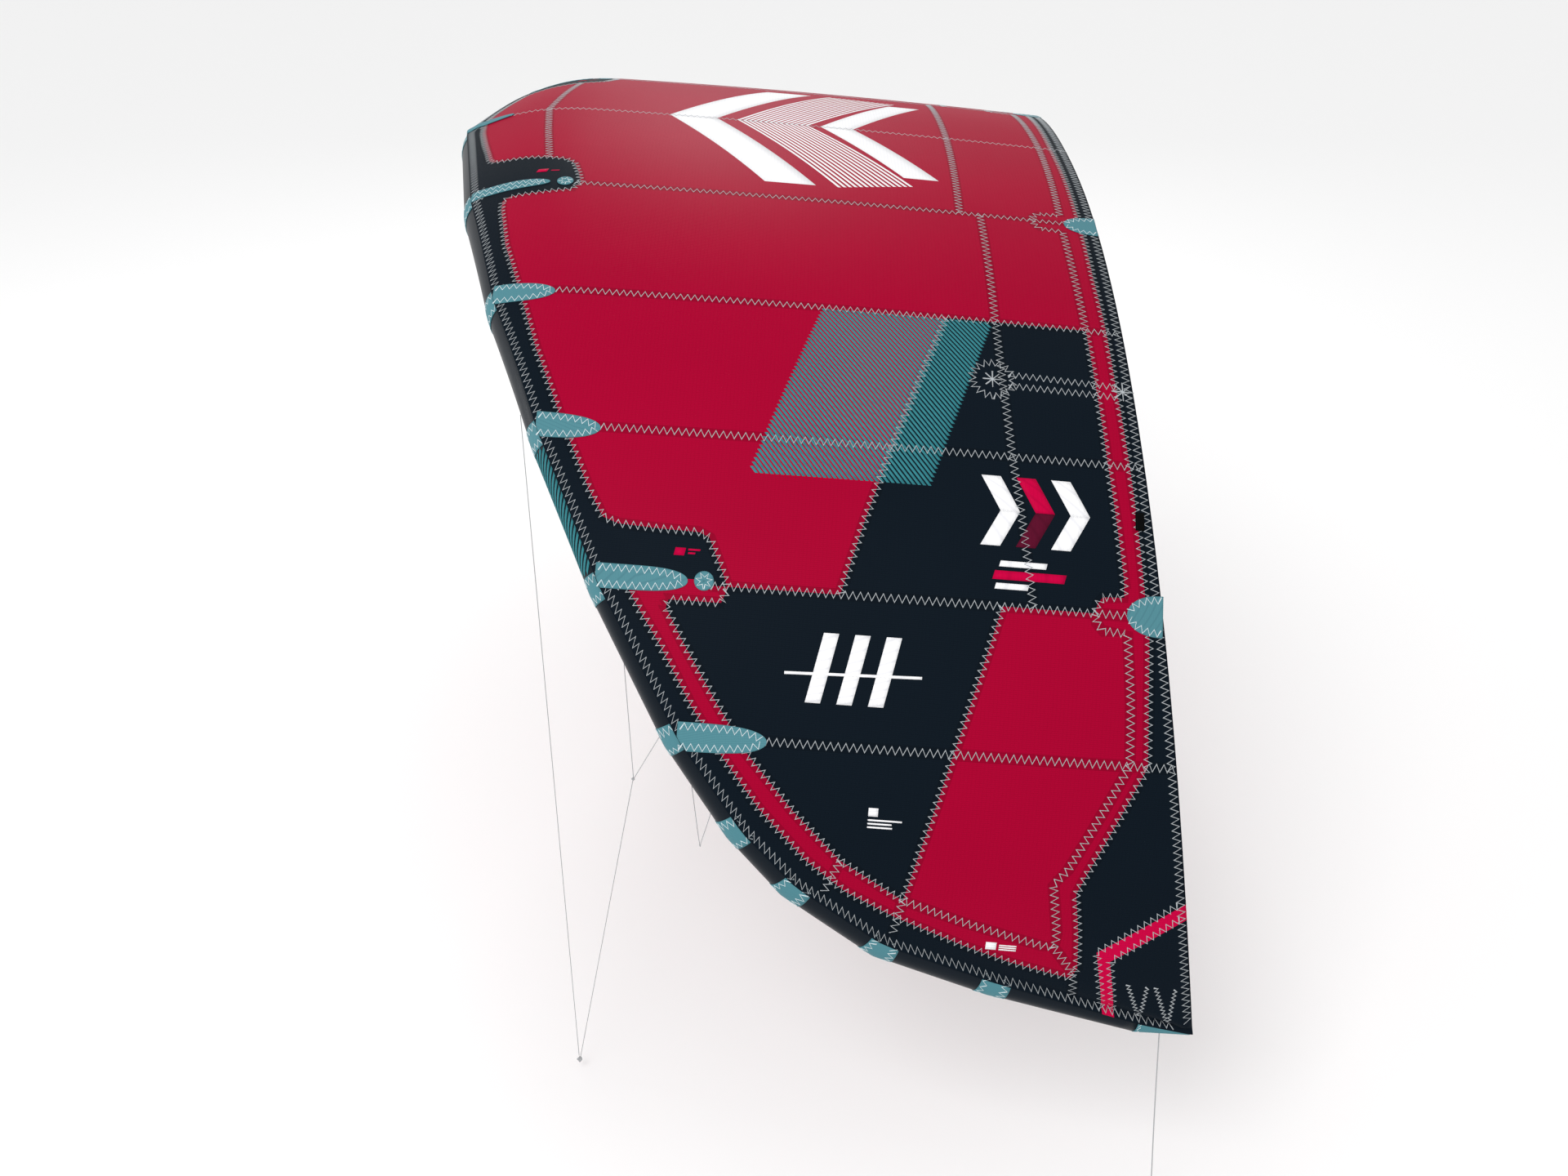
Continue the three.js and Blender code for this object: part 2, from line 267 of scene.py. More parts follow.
# Woven cloth: ripstop ribs along and across, cloudy shade and a fine bump
def clothMaterial(name, colour, rib, roughness, strength=0.25, mottle=0.06, shine=0.03):
    made, shader = material(name, roughness, Specular_IOR_Level=shine)
    uv = node(made, "ShaderNodeUVMap", uv_map="cloth").outputs["UV"]
    ribs = []
    for direction, gap in (("Y", rib), ("X", rib * 1.9)):
        wave = node(made, "ShaderNodeTexWave", wave_type="BANDS", bands_direction=direction,
                    Scale=0.314159 / gap, Distortion=0.25)
        link(made, uv, wave.inputs["Vector"])
        sharp = node(made, "ShaderNodeMapRange")
        sharp.inputs["From Min"].default_value = 0.72
        link(made, wave.outputs["Fac"], sharp.inputs["Value"])
        ribs.append(sharp.outputs["Result"])
    both = node(made, "ShaderNodeMath", operation="MAXIMUM")
    link(made, ribs[0], both.inputs[0])
    half = node(made, "ShaderNodeMath", operation="MULTIPLY")
    half.inputs[1].default_value = 0.45
    link(made, ribs[1], half.inputs[0])
    link(made, half.outputs["Value"], both.inputs[1])
    cloud = node(made, "ShaderNodeTexNoise", Scale=2.3, Detail=4.0)
    link(made, scaled(made, uv, (0.6, 1.6, 1.0)), cloud.inputs["Vector"])
    tint = node(made, "ShaderNodeMix", data_type="RGBA")
    tint.inputs[6].default_value = shade(colour, 1 - mottle)
    tint.inputs[7].default_value = shade(colour, 1 + mottle)
    link(made, cloud.outputs["Fac"], tint.inputs[0])
    ribTint = node(made, "ShaderNodeMix", data_type="RGBA", blend_type="MULTIPLY")
    ribTint.inputs[7].default_value = (0.86, 0.86, 0.88, 1.0)
    link(made, both.outputs["Value"], ribTint.inputs[0])
    link(made, tint.outputs[2], ribTint.inputs[6])
    link(made, ribTint.outputs[2], shader.inputs["Base Color"])
    weave = node(made, "ShaderNodeTexNoise", Scale=900.0)
    link(made, uv, weave.inputs["Vector"])
    height = node(made, "ShaderNodeMath", operation="MULTIPLY_ADD")
    height.inputs[1].default_value = 0.35
    link(made, weave.outputs["Fac"], height.inputs[0])
    link(made, both.outputs["Value"], height.inputs[2])
    bump = node(made, "ShaderNodeBump", Strength=strength, Distance=0.0006)
    link(made, height.outputs["Value"], bump.inputs["Height"])
    link(made, bump.outputs["Normal"], shader.inputs["Normal"])
    return made


# Moulded or braided finish: slight shade and a fine grain, on the piece's own coordinates
def plainMaterial(name, colour, roughness, grain=300.0, strength=0.1):
    made, shader = material(name, roughness)
    spot = node(made, "ShaderNodeTexCoord").outputs["Object"]
    noise = node(made, "ShaderNodeTexNoise", Scale=grain, Detail=3.0)
    link(made, spot, noise.inputs["Vector"])
    ramp = node(made, "ShaderNodeMix", data_type="RGBA")
    ramp.inputs[6].default_value = shade(colour, 0.88)
    ramp.inputs[7].default_value = shade(colour, 1.1)
    link(made, noise.outputs["Fac"], ramp.inputs[0])
    link(made, ramp.outputs[2], shader.inputs["Base Color"])
    bump = node(made, "ShaderNodeBump", Strength=strength, Distance=0.0005)
    link(made, noise.outputs["Fac"], bump.inputs["Height"])
    link(made, bump.outputs["Normal"], shader.inputs["Normal"])
    return made


colours = {
    "red": (0.33, 0.0, 0.024), "navy": (0.0032, 0.0072, 0.0125), "teal": (0.075, 0.215, 0.25),
    "print": (0.84, 0.84, 0.85), "thread": (0.40, 0.43, 0.45), "tealPrint": (0.035, 0.2, 0.23),
    "redBright": (0.5, 0.0, 0.045), "plum": (0.09, 0.004, 0.02),
}
ribGap = 0.0052
printThickness = 0.0003
finishes = {
    "red": clothMaterial("ripstopRed", colours["red"], ribGap, 0.5),
    "redSeam": clothMaterial("ripstopRedSeam", shade(colours["red"], 0.76), ribGap, 0.5),
    "navy": clothMaterial("ripstopNavy", colours["navy"], ribGap, 0.5),
    "navySeam": clothMaterial("ripstopNavySeam", shade(colours["navy"], 0.8), ribGap, 0.5),
    "tipBand": clothMaterial("ripstopTipBand", colours["redBright"], ribGap, 0.5),
    "tube": clothMaterial("coatedNavy", colours["navy"], 0.003, 0.36, strength=0.1, shine=0.11),
    "tape": clothMaterial("tapeTeal", colours["teal"], 0.0024, 0.42, strength=0.12),
    "thread": plainMaterial("threadGrey", colours["thread"], 0.6, grain=1500.0, strength=0.3),
    "threadPale": plainMaterial("threadPale", (0.6, 0.7, 0.73), 0.6, grain=1500.0, strength=0.3),
    "sleeve": clothMaterial("sleeveNavy", colours["navy"], 0.003, 0.5, strength=0.1, shine=0.1),
    "print": clothMaterial("printWhite", colours["print"], ribGap, 0.5, mottle=0.02),
    "tealPrint": clothMaterial("printTeal", colours["tealPrint"], ribGap, 0.5),
    "redPrint": clothMaterial("printRed", colours["redBright"], ribGap, 0.5),
    "plumPrint": clothMaterial("printPlum", colours["plum"], ribGap, 0.5),
    "blackPrint": clothMaterial("printBlack", (0.002, 0.002, 0.002), ribGap, 0.5),
    "line": plainMaterial("braidGrey", (0.36, 0.37, 0.38), 0.7, grain=1800.0, strength=0.5),
    "film": plainMaterial("bladderFilm", (0.75, 0.82, 0.86), 0.2, grain=40.0),
    "hose": plainMaterial("hoseSilicone", (0.62, 0.65, 0.67), 0.3, grain=200.0),
    "grey": plainMaterial("mouldedGrey", (0.05, 0.055, 0.062), 0.45, grain=700.0),
    "black": plainMaterial("mouldedBlack", (0.012, 0.012, 0.014), 0.5, grain=700.0),
}
print("materials made")


# Building helpers


def finishPiece(name, bm, slots):
    if "cloth" not in bm.loops.layers.uv:
        layer = bm.loops.layers.uv.new("cloth")
        for face in bm.faces:
            for loop in face.loops:
                loop[layer].uv = (loop.vert.co.y, loop.vert.co.x + loop.vert.co.z)
    for face in bm.faces:
        face.smooth = True
    mesh = bpy.data.meshes.new(name)
    bm.to_mesh(mesh)
    bm.free()
    for slotName in slots:
        mesh.materials.append(finishes[slotName])
    piece = bpy.data.objects.new(name, mesh)
    bpy.context.scene.collection.objects.link(piece)
    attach(piece, "wing")
    return piece


# A grid of faces whose corners go where place(column share, row share) says
def addGrid(bm, columns, rows, place):
    made = bmesh.ops.create_grid(bm, x_segments=columns, y_segments=rows, size=1.0)
    for vert in made["verts"]:
        vert.co = place((vert.co.x + 1) / 2, (vert.co.y + 1) / 2)
    return made["verts"]


# Gives a sheet its thickness on the side away from its normals and closes its rim
def thicken(bm, amount):
    bmesh.ops.solidify(bm, geom=bm.faces[:], thickness=amount)


def sewSheet(bm, amount):
    bmesh.ops.remove_doubles(bm, verts=bm.verts[:], dist=0.00005)
    bmesh.ops.recalc_face_normals(bm, faces=bm.faces[:])
    thicken(bm, amount)


def closeEnds(bm, join, sides):
    bmesh.ops.remove_doubles(bm, verts=bm.verts[:], dist=join)
    bmesh.ops.holes_fill(bm, edges=[e for e in bm.edges if e.is_boundary], sides=sides)
    bmesh.ops.recalc_face_normals(bm, faces=bm.faces[:])


def thickenPrint(bm):
    bmesh.ops.recalc_face_normals(bm, faces=bm.faces[:])
    thicken(bm, printThickness)
    bmesh.ops.recalc_face_normals(bm, faces=bm.faces[:])


# Seams of the flat canopy, left wing: share of the arch, chordwise place

seams = {
    "panelC": [(0.0, 0.166), (0.0, 1.935)],
    "panelS1": [(0.2, 0.425), (0.2, 1.85)],
    "panelP2": [(0.362, 0.43), (0.362, 1.950)],
    "panelP3": [(0.505, 0.59), (0.505, 1.985)],
    "panelS2": [(0.637, 0.90), (0.637, 1.945)],
    "panelP4": [(0.76, 1.06), (0.76, 2.083)],
    "stripUpper": [(0.0, 0.072), (0.035, 0.082), (0.075, 0.108), (0.128, 0.148), (0.134, 0.165),
                   (0.138, 0.196), (0.145, 0.319), (0.151, 0.385), (0.160, 0.412), (0.182, 0.432),
                   (0.2, 0.443), (0.2125, 0.422), (0.2175, 0.330), (0.2185, 0.246), (0.224, 0.228),
                   (0.240, 0.232), (0.296, 0.267), (0.354, 0.324), (0.43, 0.402), (0.496, 0.485),
                   (0.562, 0.578), (0.585, 0.619), (0.590, 0.660), (0.592, 0.759), (0.593, 0.862),
                   (0.597, 0.888), (0.610, 0.905), (0.628, 0.930), (0.637, 0.94)],
    "stripLowerOuter": [(0.640, 0.69), (0.661, 0.730), (0.686, 0.782), (0.735, 0.872), (0.774, 0.956),
                        (0.816, 1.058), (0.857, 1.184), (0.882, 1.289), (0.902, 1.42), (0.924, 1.603),
                        (0.937, 1.728), (0.9445, 1.83), (0.948, 1.885), (0.938, 1.898), (0.905, 1.886),
                        (0.870, 1.867), (0.850, 1.891), (0.76, 2.014), (0.707, 2.005), (0.654, 2.0),
                        (0.62, 1.987), (0.503, 1.951), (0.42, 1.926), (0.354, 1.914), (0.286, 1.900),
                        (0.185, 1.893), (0.0, 1.888)],
    "stripLowerInner": [(0.640, 0.94), (0.6505, 0.928), (0.6505, 0.798), (0.657, 0.793), (0.682, 0.837),
                        (0.732, 0.935), (0.770, 1.016), (0.816, 1.143), (0.855, 1.270), (0.886, 1.435),
                        (0.902, 1.595), (0.912, 1.718), (0.9185, 1.80), (0.9195, 1.832), (0.907, 1.832),
                        (0.863, 1.807), (0.850, 1.838), (0.76, 1.968), (0.708, 1.960), (0.652, 1.944),
                        (0.651, 1.881), (0.645, 1.866), (0.637, 1.86)],
    "stripTrailing": [(0.637, 1.86), (0.629, 1.866), (0.623, 1.879), (0.622, 1.934), (0.608, 1.933),
                      (0.504, 1.894), (0.422, 1.872), (0.361, 1.859), (0.289, 1.846), (0.216, 1.836),
                      (0.2145, 1.770), (0.208, 1.757), (0.2, 1.75), (0.192, 1.757), (0.186, 1.772),
                      (0.185, 1.838), (0.100, 1.842), (0.0, 1.846)],
    "crossFront": [(0.0, 0.277), (0.078, 0.304), (0.146, 0.333)],
    "crossRear": [(0.0, 1.546), (0.2, 1.539)],
    "crossAft": [(0.2, 1.598), (0.361, 1.611), (0.430, 1.623), (0.505, 1.645), (0.637, 1.704)],
    "slantUpper": [(0.362, 1.478), (0.505, 1.335), (0.572, 1.273), (0.637, 1.22)],
    "slantLower": [(0.637, 1.626), (0.76, 1.526), (0.840, 1.466), (0.886, 1.435)],
    "shortFront": [(0.855, 1.270), (0.884, 1.236)],
    "shortRear": [(0.886, 1.435), (0.918, 1.420)],
    "shortTip": [(0.918, 1.826), (0.939, 1.880), (0.948, 1.893), (0.968, 1.899)],
    "tipBandOuter": [(0.870, 2.169), (0.922, 1.941), (0.990, 1.991)],
    "tipBandInner": [(0.884, 2.177), (0.930, 1.979), (0.992, 2.023)],
}
seamBand = 0.0155                     # half width of the double cloth under a seam


def flatLine(name):
    return [(share * arch["half"], y) for share, y in seams[name]]


def inside(outline, u, y):
    hit = False
    for (ua, ya), (ub, yb) in zip(outline, outline[1:] + outline[:1]):
        if (ya > y) != (yb > y) and u < ua + (y - ya) / (yb - ya) * (ub - ua):
            hit = not hit
    return hit


def awayFrom(line, u, y):
    best = 9.0
    for (ua, ya), (ub, yb) in zip(line, line[1:]):
        du, dy = ub - ua, yb - ya
        share = min(max(((u - ua) * du + (y - ya) * dy) / (du * du + dy * dy + 1e-12), 0.0), 1.0)
        best = min(best, math.hypot(u - ua - share * du, y - ya - share * dy))
    return best


s2 = 0.637 * arch["half"]
redLoop = flatLine("stripLowerOuter")[:20]
navyLower = [(s2, 0.94)] + flatLine("stripLowerInner")[1:10] + flatLine("slantLower")[::-1]
trailOuter = [(0.0, 1.888)] + flatLine("stripLowerOuter")[::-1]
trailInner = flatLine("stripTrailing")
tipBand = flatLine("tipBandOuter") + flatLine("tipBandInner")[::-1]
frontFill = [(0.0, -0.2)] + flatLine("stripUpper") + [(s2, -0.2)]
s1 = 0.362 * arch["half"]
midNavy = [(s1, 1.478)] + flatLine("slantUpper")[1:] + [(s2, 2.3), (s1, 2.3)]
trailRed = trailInner[::-1] + [(s2, 1.86), (s2, 2.3), (0.0, 2.3)]


def clothZone(u, y):
    if u > s2:
        if inside(tipBand, u, y):
            return "tipBand"
        outline = [(s2, 0.69)] + redLoop + [(s2, 1.99)]
        return "red" if inside(outline, u, y) and not inside(navyLower, u, y) else "navy"
    if inside(frontFill, u, y) or y > lineAt(sorted(trailOuter[:12]), u):
        return "navy"
    if inside(midNavy, u, y) and not inside(trailRed, u, y):
        return "navy"
    return "red"


# Cuts the flat cloth along a line of places, one stretch after another
def cutAlong(bm, line):
    reach = 0.03
    for (ua, ya), (ub, yb) in zip(line, line[1:]):
        across = Vector((-(yb - ya), ub - ua, 0)).normalized()
        lowU, highU = min(ua, ub) - 0.06, max(ua, ub) + 0.06
        lowY, highY = min(ya, yb) - 0.06, max(ya, yb) + 0.06
        near = []
        for face in bm.faces:
            c = face.verts[0].co
            if lowU < c.x < highU and lowY < c.y < highY:
                c = face.calc_center_median()
                if awayFrom([(ua, ya), (ub, yb)], c.x, c.y) < reach:
                    near.append(face)
        parts = set(near)
        for face in near:
            parts.update(face.edges)
            parts.update(face.verts)
        bmesh.ops.bisect_plane(bm, geom=list(parts), dist=0.0002, plane_co=(ua, ya, 0), plane_no=across)


def offsetLine(line, side):
    moved = []
    for i, (u, y) in enumerate(line):
        a, b = line[max(i - 1, 0)], line[min(i + 1, len(line) - 1)]
        du, dy = b[0] - a[0], b[1] - a[1]
        size = math.hypot(du, dy)
        moved.append((u - dy / size * side, y + du / size * side))
    return moved


canopySet = {"columns": 110, "rows": 60, "columnPower": 1.3, "rowPower": 1.3, "top": 0.002,
             "thickness": 0.0016}


def buildCanopy(settings):
    bm = bmesh.new()

    def lay(column, row):
        u = clothEnd * (1 - (1 - column) ** settings["columnPower"])
        return Vector((u, mix(lineAt(edgeLine, u), trailingAt(u), row ** settings["rowPower"]), 0))

    addGrid(bm, settings["columns"], settings["rows"], lay)
    for name in seams:
        line = flatLine(name)
        cutAlong(bm, line)
        for side in (-seamBand, seamBand):
            if name != "panelC" or side > 0:
                cutAlong(bm, offsetLine(line, side))
    bmesh.ops.remove_doubles(bm, verts=bm.verts[:], dist=0.00005)
    uvLayer = bm.loops.layers.uv.new("cloth")
    slots = ["red", "redSeam", "navy", "navySeam", "tipBand"]
    bands = [flatLine(name) for name in seams if not name.startswith("tipBand")]
    boxes = [(min(p[0] for p in b) - 0.02, max(p[0] for p in b) + 0.02,
              min(p[1] for p in b) - 0.02, max(p[1] for p in b) + 0.02) for b in bands]
    for face in bm.faces:
        centre = face.calc_center_median()
        zone = clothZone(centre.x, centre.y)
        near = any(box[0] < centre.x < box[1] and box[2] < centre.y < box[3]
                   and awayFrom(band, centre.x, centre.y) < seamBand for band, box in zip(bands, boxes))
        face.material_index = slots.index(zone + "Seam" if near and zone != "tipBand" else zone)
        for loop in face.loops:
            loop[uvLayer].uv = (loop.vert.co.y, loop.vert.co.x)
    geom = bm.verts[:] + bm.edges[:] + bm.faces[:]
    bmesh.ops.mirror(bm, geom=geom, merge_dist=0.00001, axis="X", matrix=Matrix.Identity(4))
    bmesh.ops.recalc_face_normals(bm, faces=bm.faces[:])
    if bm.faces[0].normal.z < 0:
        bmesh.ops.reverse_faces(bm, faces=bm.faces[:])
    for vert in bm.verts:
        vert.co = clothSpot(vert.co.x, vert.co.y, settings["top"])
    thicken(bm, settings["thickness"])
    return finishPiece("canopy", bm, slots)


canopy = buildCanopy(canopySet)
canopyNodes = [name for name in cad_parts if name.startswith("canopy")]
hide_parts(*canopyNodes)
print("canopy cut and sewn:", len(canopy.data.polygons), "faces")

# Leading edge tube, its bands and tip caps

tubeSet = {"sides": 44, "rowsPerPanel": 10, "bandWidth": 0.08, "bandLift": 0.0003, "bandTop": 0.0014,
           "frontBand": 0.86, "thickness": 0.0015}


def tubeUv(bm, verts, uvs):
    layer = bm.loops.layers.uv.get("cloth") or bm.loops.layers.uv.new("cloth")
    places = dict(zip(verts, uvs))
    for face in {f for v in verts for f in v.link_faces}:
        for loop in face.loops:
            if loop.vert in places:
                loop[layer].uv = places[loop.vert]


# A sleeve round the tube between two stations
def addSleeve(bm, start, end, rows, sides, lift, pinch=None):
    uvs = []

    def lay(column, row):
        station = mix(start, end, column)
        angle = 360 * row
        drop = pinch(station) if pinch else 0.0
        at = tubeAt(station)
        uvs.append((station * 0.45, math.radians(angle) * at["radius"]))
        return tubeSpot(station, angle, lift - drop)

    tubeUv(bm, addGrid(bm, rows, sides, lay), uvs)


def seamPinch(station):
    away = abs(station - round(station)) * 0.4
    return 0.0012 * math.exp(-(away / 0.012) ** 2) if 0 < abs(round(station)) < capStation else 0.0


tubeBm = bmesh.new()
addSleeve(tubeBm, -capStation - 0.004, capStation + 0.004, 2 * capStation * tubeSet["rowsPerPanel"],
          tubeSet["sides"], 0.0, pinch=seamPinch)
sewSheet(tubeBm, tubeSet["thickness"])
tube = finishPiece("leading_edge_tube", tubeBm, ["tube"])
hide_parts(*[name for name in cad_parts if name.startswith("leading_edge_tube")])

for side, label in wings:
    capBm = bmesh.new()

    def capLay(column, row):
        share = min(column * 1.25, 1.0)
        station = side * mix(capStation + 0.003, lastStation - 0.01, share)
        radius = tubeAt(station)["radius"] * math.sqrt(max(1 - max(column * 1.25 - 1, 0) ** 2 * 16, 0))
        return tubeSpot(station, 360 * row, 0.0012, radius)

    addGrid(capBm, 24, 32, capLay)
    closeEnds(capBm, 0.0001, 64)
    cap = finishPiece("tip_cap_cover_" + label, capBm, ["tape"])
    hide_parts("tip_cap_" + label)


def stationWidth(station):            # metres of tube per station, near a station
    step = 0.05
    return (tubeAxis(station + step) - tubeAxis(station - step)).length / (2 * step)


def bandHalf(station):                # half a band's width; the front ones are narrower
    return tubeSet["bandWidth"] / 2 * (tubeSet["frontBand"] if station < 6 else 1.0)


for side, label in wings:
    bandBm = bmesh.new()
    for station in range(capStation):
        if station == 0 and side < 0:
            continue
        half = bandHalf(station) / stationWidth(max(station, 0.3))
        addSleeve(bandBm, side * station - half, side * station + half, 6, 36, tubeSet["bandTop"])
    sewSheet(bandBm, tubeSet["bandTop"] - tubeSet["bandLift"])
    bands = finishPiece("tube_bands_" + label, bandBm, ["tape"])
print("leading edge made")

# Stitching: zigzag threads that lie on the cloth or round the tube

stitch = {"step": 0.0095, "swing": 0.0098, "width": 0.0030, "height": 0.0009}
levels = {"cloth": 0.002, "print": 0.00215, "tape": 0.0038}


# Even steps along a line of places, each with its direction
def walkLine(line, step):
    lengths = [math.hypot(b[0] - a[0], b[1] - a[1]) for a, b in zip(line, line[1:])]
    count = max(2, round(sum(lengths) / step))
    found, i, passed = [], 0, 0.0
    for k in range(count + 1):
        far = min(sum(lengths) * k / count, sum(lengths) - 1e-7)
        while passed + lengths[i] < far:
            passed += lengths[i]
            i += 1
        (ua, ya), (ub, yb) = line[i], line[i + 1]
        share = (far - passed) / lengths[i]
        slope = ((ub - ua) / lengths[i], (yb - ya) / lengths[i])
        found.append((mix(ua, ub, share), mix(ya, yb, share), slope))
    return found


def zigzag(line, swing=None, step=None, lean=0.0):
    swing, step = swing or stitch["swing"], step or stitch["step"]
    spots = []
    for k, (u, y, (du, dy)) in enumerate(walkLine(line, step)):
        side = 1 if k % 2 else -1
        slide = lean if side > 0 else 0.0
        spots.append((u - dy * swing * side + du * slide, y + du * swing * side + dy * slide))
    return spots


# A thread of triangular section along flat spots, set on a surface by place(u, y, lift)
def addThread(bm, spots, place, level, width=None, height=None):
    width, height = width or stitch["width"], height or stitch["height"]
    last = len(spots) - 1

    def lay(column, row):
        i, corner = round(column * last), round(row * 3) % 3
        a, b, c = spots[max(i - 1, 0)], spots[i], spots[min(i + 1, last)]
        first = Vector((b[0] - a[0], b[1] - a[1]))
        second = Vector((c[0] - b[0], c[1] - b[1]))
        first, second = (first or second).normalized(), (second or first).normalized()
        along = first + second if (first + second).length > 0.2 else first
        along.normalize()
        spread = width / 2 / max(abs(along.dot(first)), 0.55)
        side = (0, 1, -1)[corner]
        lift = level + (height if corner == 0 else -0.0002)
        return place(b[0] - along.y * spread * side, b[1] + along.x * spread * side, lift)

    addGrid(bm, last, 3, lay)


def closeThreads(bm):
    closeEnds(bm, 0.00002, 3)


seamStitches = [zigzag([seamSpot(station) for station in seamSteps if station < 10.7], lean=-0.012)]
for name in seams:
    line = flatLine(name)
    if name.startswith("tipBand"):
        line = [(2.652, 2.132)] + line[1:-1] + [(2.968, 1.983)] if name.endswith("Outer") else \
            [(2.690, 2.143)] + line[1:-1] + [(2.975, 2.013)]
    if name != "panelC":
        seamStitches.append(zigzag(line, lean=-0.004 if name == "stripUpper" else 0.0))
trailStitch = [(u, trailingAt(u) - 0.014) for u in [clothEnd * i / 60 for i in range(60)] + [2.995]]
seamStitches.append(zigzag(trailStitch))

# Batten pocket at the trailing edge: a ring, two rows of stitches and a star at each end
batten = {"at": (1.297, 1.597), "ring": 0.055,
          "rows": [[(1.278, 1.64), (1.287, 1.93)], [(1.314, 1.64), (1.320, 1.93)]],
          "stars": [(1.297, 1.597, 0.026), (1.300, 1.945, 0.03)]}
ringLine = [(batten["at"][0] + batten["ring"] * math.cos(turn / 9 * math.pi),
             batten["at"][1] + batten["ring"] * math.sin(turn / 9 * math.pi)) for turn in range(19)]
for line in [ringLine] + batten["rows"]:
    seamStitches.append(zigzag(line))
for starU, starY, starSize in batten["stars"]:
    for turn in range(4):
        du = starSize * math.cos(turn * math.pi / 4)
        dy = starSize * math.sin(turn * math.pi / 4)
        seamStitches.append([(starU - du, starY - dy), (starU + du, starY + dy)])

# Reinforcing stitches fanned out at the wing tip
for outer, tipEnd, inner in (((2.882, 2.035), (2.988, 2.083), (2.888, 2.087)),
                             ((2.888, 2.109), (3.002, 2.160), (2.894, 2.163))):
    seamStitches.append(zigzag([outer, tipEnd], swing=0.005, step=0.006))
    seamStitches.append(zigzag([inner, tipEnd], swing=0.005, step=0.006))

for side, label in wings:
    threadBm = bmesh.new()
    for spots in seamStitches:
        addThread(threadBm, spots, lambda u, y, lift: clothSpot(side * u, y, lift), levels["cloth"])
    if side > 0:
        addThread(threadBm, zigzag(flatLine("panelC")), clothSpot, levels["cloth"])
    closeThreads(threadBm)
    finishPiece("canopy_stitching_" + label, threadBm, ["thread"])
print("canopy stitched")

# Tapes on the canopy over the ends of the tube's bands: a leaf each, and a disc beyond two of them

leaves = [
    {"share": 0.0, "tip": 0.166, "half": 0.026, "fall": 2.2, "station": 0},
    {"share": 0.199, "tip": 0.355, "half": 0.0225, "fall": 5, "station": 1},
    {"share": 0.364, "tip": 0.429, "half": 0.034, "fall": 2.9, "station": 2},
    {"share": 0.5065, "tip": 0.592, "half": 0.035, "fall": 2.9, "station": 3},
    {"share": 0.6345, "tip": 0.842, "half": 0.031, "fall": 5, "station": 4},
    {"share": 0.7605, "tip": 1.064, "half": 0.0355, "fall": 4, "station": 5},
]
trailLeaves = [
    {"share": 0.2015, "tip": 1.845, "half": 0.048, "fall": 2.4},
    {"share": 0.636, "tip": 1.942, "half": 0.052, "fall": 2.4},
]
tapeThickness = 0.0018
discs = [(0.198, 0.398, 0.0235), (0.6335, 0.882, 0.0245)]


def leafWidth(leaf, t):
    return leaf["half"] * (max(1 - t ** leaf["fall"], 0.0) ** 0.5 + 0.02)


def leafStart(leaf):
    if "station" not in leaf:
        return trailingAt(leaf["share"] * arch["half"]) - 0.0005
    return lineAt(edgeLine, leaf["share"] * arch["half"]) + 0.002


def leafMiddle(leaf, t):
    return leaf["share"] * arch["half"], mix(leafStart(leaf), leaf["tip"], t)


def addLeaf(bm, leaf, side):
    def lay(column, row):
        t = 1 - (1 - column) ** 1.6
        u, y = leafMiddle(leaf, t)
        place = u + leafWidth(leaf, t) * (2 * row - 1)
        front = lineAt(edgeLine, place) + 0.001 if "station" in leaf else 0.0
        return clothSpot(side * place, max(y, front), levels["tape"])

    addGrid(bm, 30, 10, lay)


def leafStitch(leaf, edge, inset=0.011):
    spots = []
    start = 0.03 if "station" in leaf else 0.05
    for i in range(13):
        t = mix(start, 0.94, i / 12)
        u, y = leafMiddle(leaf, t)
        spots.append((u + edge * max(leafWidth(leaf, t) - inset, 0.0015), y))
    return spots


